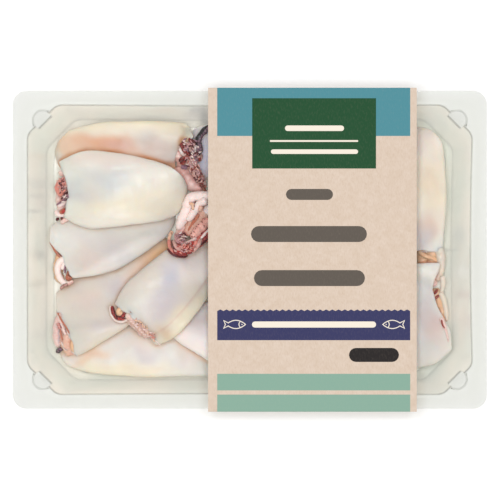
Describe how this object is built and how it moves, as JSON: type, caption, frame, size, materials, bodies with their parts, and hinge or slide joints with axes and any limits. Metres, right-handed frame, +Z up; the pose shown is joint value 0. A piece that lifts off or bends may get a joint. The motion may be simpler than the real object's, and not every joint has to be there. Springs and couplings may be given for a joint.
{
  "type": "sealed tray of raw whole squid",
  "caption": "Clear lidded tray of raw whole squid, heaped with their arms on, with a printed card sleeve round the middle.",
  "frame": {"origin": "under the middle of the whole pack, on the surface that the sleeve's bottom panel rests on", "axes": "+X along the tray towards the end that the sleeve is nearer, +Y across the tray, +Z up through the film lid"},
  "size_m": [0.24, 0.164, 0.036],
  "materials": {
    "squid_flesh": "wet, smooth and slightly see-through, cream to lilac with pink and dark red speckled arms",
    "tray_plastic": "clear thermoformed plastic, glossy",
    "film": "thin clear film, glossy",
    "card": "uncoated kraft card, printed with matt blocks of colour"
  },
  "bodies": {
    "root": {"tray": "tray_plastic", "film_lid": "film", "sleeve": "card", "squid_front_left": "squid_flesh", "squid_front_middle": "squid_flesh", "squid_back_left": "squid_flesh", "squid_back_middle": "squid_flesh", "squid_front_right": "squid_flesh", "squid_left_low": "squid_flesh", "squid_centre_low": "squid_flesh", "squid_left_middle": "squid_flesh", "squid_right_back": "squid_flesh", "squid_back_right": "squid_flesh", "squid_diagonal": "squid_flesh", "squid_right_front": "squid_flesh", "squid_centre": "squid_flesh", "squid_top_left": "squid_flesh"}
  },
  "joints": []
}
